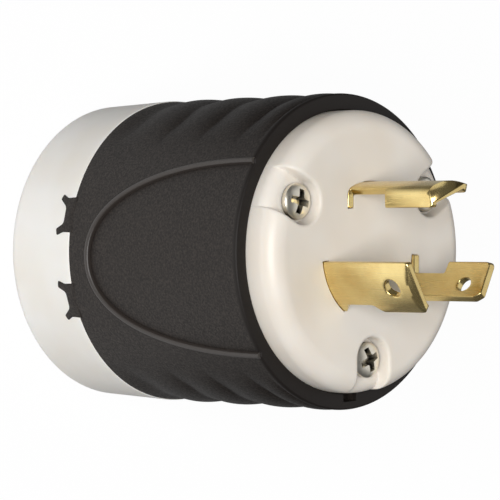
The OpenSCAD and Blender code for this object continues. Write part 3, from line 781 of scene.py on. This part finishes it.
face_nylon = moulded_nylon("warm_white_face_nylon", "#f0e9df", "#ebe1d3")
front_face = new_piece("front_face_nylon", face_surface(), face_nylon, sharp=55)
for cutter in blade_slots():
    carved(front_face, cutter, sharp=55)
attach(front_face, "root")
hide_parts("front_face")


# ---- Assembly screws: three nickel-plated steel screws with crowned heads and cross recesses ----
# They stand on the pockets' floors and go down through the carrier into the inserts.

screw_low, screw_high = corners("assembly_screws")
head_r = screw_high[0] - screw_circle_r
head_top = pocket_z + 1.9
screw_r = 1.75


def screw_body(floor_z, top_z, tip_z):
    """A crowned head over a shaft: the crown is an arc, and the head's rim is rounded."""
    height = top_z - floor_z
    rise = 0.75
    crown_r = (head_r ** 2 + rise ** 2) / (2 * rise)
    half = math.degrees(math.asin((head_r - 0.25) / crown_r))
    crown = arc((0, height - crown_r), crown_r, 90 - half, 90, 12)[:-1]
    rim = arc((head_r - 0.3, 0.3), 0.3, -90, 0, 4)
    profile = np.concatenate([[(0.02, tip_z - floor_z), (screw_r - 0.5, tip_z - floor_z),
                               (screw_r, tip_z - floor_z + 0.5), (screw_r, 0)], rim,
                              [(head_r, height - rise - 0.1)], crown, [(0.02, height)]])
    points, faces = revolved(profile, 64)
    return points + [0, 0, floor_z], faces


def tapered_bar(length, width, low_z, high_z, end_slope):
    """A bar with a trapezoid side view, longer at the top, for cutting one wing pair of a cross recess."""
    bottom, top = length / 2 - end_slope, length / 2
    levels = ((low_z, bottom, 0.62 * width / 2), (high_z, top, width / 2))
    points = np.array([(sx * reach, sy * half_w, z)
                       for z, reach, half_w in levels for sx, sy in ((-1, -1), (1, -1), (1, 1), (-1, 1))])
    faces = [[3, 2, 1, 0], [4, 5, 6, 7], [0, 1, 5, 4], [1, 2, 6, 5], [2, 3, 7, 6], [3, 0, 4, 7]]
    return points, faces


def cross_recess(top_z):
    """A cross recess: two tapered bars at right angles and a square pit between them."""
    return [turned(tapered_bar(4.9, 1.35, top_z - 1.6, top_z + 0.5, 0.9), 0),
            turned(tapered_bar(4.9, 1.35, top_z - 1.6, top_z + 0.5, 0.9), 90),
            turned(tapered_bar(2.2, 2.2, top_z - 1.65, top_z + 0.5, 0.6), 45)]


def cross_screw(name, place, turn, floor_z, top_z, tip_z):
    """One screw with its recess cut, at a place in plan."""
    body = turned(screw_body(floor_z, top_z, tip_z), turn)
    piece = new_piece(name, moved(body, (*place, 0)), nickel, sharp=30)
    for part in cross_recess(top_z):
        carved(piece, moved(turned(part, turn), (*place, 0)), sharp=30)
    return piece


screw_turns = (20, 62, -16)
for number, (angle, turn) in enumerate(zip(screw_angles, screw_turns)):
    place = screw_circle_r * np.array([math.cos(math.radians(angle)), math.sin(math.radians(angle))])
    screw = cross_screw(f"assembly_screw_{number + 1}", place, turn, pocket_z, head_top, screw_low[2])
    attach(screw, "root")
    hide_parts("assembly_screws")


# ---- Grip sleeve: black thermoplastic moulded over the tube, with ribs, panels and locking fingers ----
# Its outside is one height field over angle and height. The bead round each panel is carried along the
# panel's outline, and the fingers are plates rolled onto the cap.

cap_z, ring_z = cap_len, sleeve_high[2]
grip_in_r = tube_r + 0.1
grip_rear_r = 26.45
grip_front_r = 26.95
lip = 0.6
panel_len, panel_half_w, panel_power = 36.5, 18.0, 2.15
panel_depth = 0.4
bead_w, bead_h, bead_root = 1.0, 0.38, 0.6
valley_side = np.array([18.8, 27.4, 37.6, 48.4])
valley_bow = np.array([1.9, 3.4, 2.4, 1.2])
rib_depth, rib_crest = 0.65, 0.09
rib_fade = (43.0, 62.0)
rib_lean, rib_power, edge_rise = 1.3, 2.2, 0.86


def grip_r(z):
    """Radius of the sleeve's plain taper."""
    return grip_rear_r + (grip_front_r - grip_rear_r) * (z - cap_z) / (ring_z - cap_z)


def smooth(t):
    """3 t^2 - 2 t^3 between 0 and 1."""
    t = np.clip(t, 0, 1)
    return t * t * (3 - 2 * t)


def panel_angle(t):
    """Angle, in degrees, from the nearest panel's middle line at -Y or +Y: 90 on the thumb grips."""
    return np.degrees(np.arccos(np.clip(np.abs(np.sin(t)), 0, 1)))


def outline_distance(width, length):
    """Signed distance to the panel's outline, a superellipse; negative inside."""
    u, v = width / panel_half_w, np.clip(length, 0, None) / panel_len
    f = np.maximum((u ** panel_power + v ** panel_power) ** (1 / panel_power), 1e-3)
    slope = np.hypot((u / f) ** (panel_power - 1) / panel_half_w, (v / f) ** (panel_power - 1) / panel_len)
    return (f - 1) / slope


def sleeve_surface():
    """The sleeve as a ring of sections: rear edge, ribbed outside, rounded lip, front ring and inside.

    Rows follow the valleys between the ribs, which bow forwards away from the thumb grips."""
    t = np.linspace(0, 2 * math.pi, 480, endpoint=False)
    psi = panel_angle(t)
    bow = smooth((90 - psi) / 32)
    last = ring_z - lip
    stops = np.concatenate([np.full((len(t), 1), cap_z), valley_side + bow[:, None] * valley_bow,
                            np.full((len(t), 1), last)], 1)
    rows = [8, 28, 30, 30, 24]
    z, s = [], []
    for i, count in enumerate(rows):
        part = np.linspace(0, 1, count, endpoint=False)
        z.append(stops[:, i:i + 1] + (stops[:, i + 1:i + 2] - stops[:, i:i + 1]) * part)
        s.append(np.tile(part, (len(t), 1)))
    z = np.hstack(z + [stops[:, -1:]])
    s = np.hstack(s + [np.ones((len(t), 1))])
    hump = 1 - np.abs(2 * s ** rib_lean - 1) ** rib_power
    section = np.repeat(np.arange(len(rows)), rows)
    section = np.r_[section, len(rows) - 1]
    hump = np.where(section == 0, smooth(1 - s) * edge_rise, hump)
    front_fade = smooth((last - z) / 2.0)
    hump = np.where((section == len(rows) - 1) & (s > 0.6), np.maximum(hump, edge_rise * (1 - front_fade)),
                    hump)
    strength = smooth((psi - rib_fade[0]) / (rib_fade[1] - rib_fade[0]))[:, None]
    r = grip_r(z) + strength * ((rib_depth + rib_crest) * hump - rib_depth)
    width = (np.radians(psi)[:, None]) * grip_r(z)
    d = outline_distance(width, ring_z - z)
    r = r - panel_depth * smooth((-bead_w * 0.3 - d) / (bead_w * 0.4))
    lip_angles = np.radians(np.linspace(0, 90, 7))[1:]
    lip_r = r[:, -1:] - 0.35 * (1 - np.cos(lip_angles))
    lip_z = last + lip * np.sin(lip_angles) + 0 * lip_r
    inner = np.array([(grip_in_r + 0.15, ring_z), (grip_in_r, ring_z - 0.15), (grip_in_r, cap_z),
                      (25.2, cap_z)])
    r = np.hstack([r, lip_r, np.tile(inner[:, 0], (len(t), 1))])
    z = np.hstack([z, lip_z, np.tile(inner[:, 1], (len(t), 1))])
    points = np.stack([r * np.cos(t)[:, None], r * np.sin(t)[:, None], z], -1).reshape(-1, 3)
    return points, grid_faces(*r.shape, wrap_rows=True, wrap_columns=True)


def panel_bead(steps=120, sides=8):
    """The bead on the -Y side: a half-round section carried along the outline, half a width inside it."""
    a = np.linspace(0, math.pi, steps)
    w = (panel_half_w - bead_w / 2) * np.sign(np.cos(a)) * np.abs(np.cos(a)) ** (2 / panel_power)
    length = (panel_len - bead_w / 2) * np.sin(a) ** (2 / panel_power)
    z = np.minimum(ring_z - length, ring_z - lip * 0.4)
    radius = grip_r(z)
    t = w / radius - math.pi / 2
    outwards = np.stack([np.cos(t), np.sin(t), 0 * t], 1)
    centre = outwards * radius[:, None] + np.stack([0 * z, 0 * z, z], 1)
    ahead = np.gradient(centre, axis=0)
    ahead /= np.linalg.norm(ahead, axis=1)[:, None]
    across = np.cross(outwards, ahead)
    k = np.radians(np.linspace(0, 180, sides + 1))
    section = np.r_[np.c_[bead_w / 2 * np.cos(k), bead_h * np.sin(k)],
                    [(-bead_w / 2, -bead_root), (bead_w / 2, -bead_root)]]
    sideways, upwards = section[:, 0, None], section[:, 1, None]
    points = centre[:, None] + across[:, None] * sideways + outwards[:, None] * upwards
    count = len(section)
    faces = grid_faces(steps, count, wrap_columns=True).tolist()
    faces.append(list(range(count)))
    faces.append([(steps - 1) * count + i for i in range(count)][::-1])
    return points.reshape(-1, 3), faces


finger_in_r, finger_out_r = grip_in_r + 0.85, 26.62
finger_tip, finger_tab = 3.5, 1.75


def finger(side):
    """One locking finger with its two barbs, as a plate rolled onto the cap; side mirrors it."""
    outline = np.array([(4.4, 0.5), (4.5, -finger_tab), (3.95, 0.25 - finger_tip), (5.1, -finger_tip),
                        (6, -finger_tab), (8.8, -finger_tab), (10.1, -finger_tip), (11, 0.4 - finger_tip),
                        (10.35, -finger_tab), (10.5, 0.5)])
    middle_r = (finger_in_r + finger_out_r) / 2
    outline[:, 0] = side * middle_r * np.arcsin(outline[:, 0] / finger_out_r)
    outline = rounded(outline + [0, cap_z], [0, 0.4, 0.3, 0.3, 0.6, 0.6, 0.3, 0.3, 0.4, 0])
    if side < 0:
        outline = outline[::-1]
    return along(plate([outline], finger_out_r - finger_in_r, 0.12, (0.8, 0.8)), circle_path(middle_r, -90))


def stippled_black(grain_end):
    """Black thermoplastic from a spark-eroded mould: a fine, hard grain that greys the lit side.

    The grain stops at a height, so that the front ring is smooth."""
    material, tree = empty_material("stippled_black_thermoplastic")
    place = add(tree, "TexCoord").outputs["Object"]
    height = add(tree, "SeparateXYZ", {0: place}).outputs[2]
    polished = add(tree, "MapRange",
                   {"Value": height, "From Min": grain_end - 0.3 * MM, "From Max": grain_end})
    noise = add(tree, "TexNoise",
                {"Vector": place, "Scale": 1 / (0.38 * MM), "Detail": 2.0, "Roughness": 0.65})
    grain = add(tree, "Mix", {0: polished.outputs[0], 2: noise.outputs[0], 3: 0.4}, data_type="FLOAT")
    speck = add(tree, "MapRange", {"Value": grain.outputs[0], "From Min": 0.4, "From Max": 0.72})
    tint = add(tree, "Mix", {0: speck.outputs[0], 6: linear("#1a1512"), 7: linear("#2e2722")},
               data_type="RGBA")
    gloss = add(tree, "MapRange", {"Value": grain.outputs[0], "From Min": 0.3, "From Max": 0.7,
                                   "To Min": 0.62, "To Max": 0.46})
    skin = add(tree, "Bump", {"Height": grain.outputs[0], "Strength": 0.75, "Distance": 0.07 * MM})
    shader = add(tree, "BsdfPrincipled", {"Base Color": tint.outputs[2], "Roughness": gloss.outputs[0],
                                          "Normal": skin.outputs[0], "IOR": 1.5, "Specular IOR Level": 0.3})
    add(tree, "OutputMaterial", {"Surface": shader.outputs[0]})
    return material


def smooth_black():
    """The same black polymer where the mould was polished: the panels' beads catch a soft line of light."""
    material, tree = empty_material("smooth_black_thermoplastic")
    place = add(tree, "TexCoord").outputs["Object"]
    haze = add(tree, "TexNoise", {"Vector": place, "Scale": 1 / (2 * MM), "Detail": 2.0})
    gloss = add(tree, "MapRange", {"Value": haze.outputs[0], "To Min": 0.36, "To Max": 0.46})
    shader = add(tree, "BsdfPrincipled",
                 {"Base Color": linear("#332d29"), "Roughness": gloss.outputs[0], "IOR": 1.5})
    add(tree, "OutputMaterial", {"Surface": shader.outputs[0]})
    return material


black = stippled_black((ring_z - lip) * MM)
sleeve = new_piece("grip_sleeve_black", sleeve_surface(), black, sharp=32)
key_w, key_r, key_deep = 3.2, grip_in_r + 1.45, 2.0
key = (np.array([(x, y, z) for z in (ring_z - key_deep, ring_z + 1) for x, y in (
    (grip_in_r - 1, -key_w / 2), (key_r, -key_w / 2), (key_r, key_w / 2), (grip_in_r - 1, key_w / 2))]),
    [[3, 2, 1, 0], [4, 5, 6, 7], [0, 1, 5, 4], [1, 2, 6, 5], [2, 3, 7, 6], [3, 0, 4, 7]])
carved(sleeve, key, sharp=32)
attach(sleeve, "root")
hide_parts("grip_sleeve")

trims = (("grip_panel_beads", (panel_bead(),), smooth_black()),
         ("grip_fingers", (finger(1), finger(-1)), black))
for name, parts, material in trims:
    trim = new_piece(name, joined([turned(part, turn) for turn in (0, 180) for part in parts]), material)
    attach(trim, "root")
    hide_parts("grip_sleeve")


# ---- Finish: the scene brought up to date ----

bpy.context.view_layer.update()
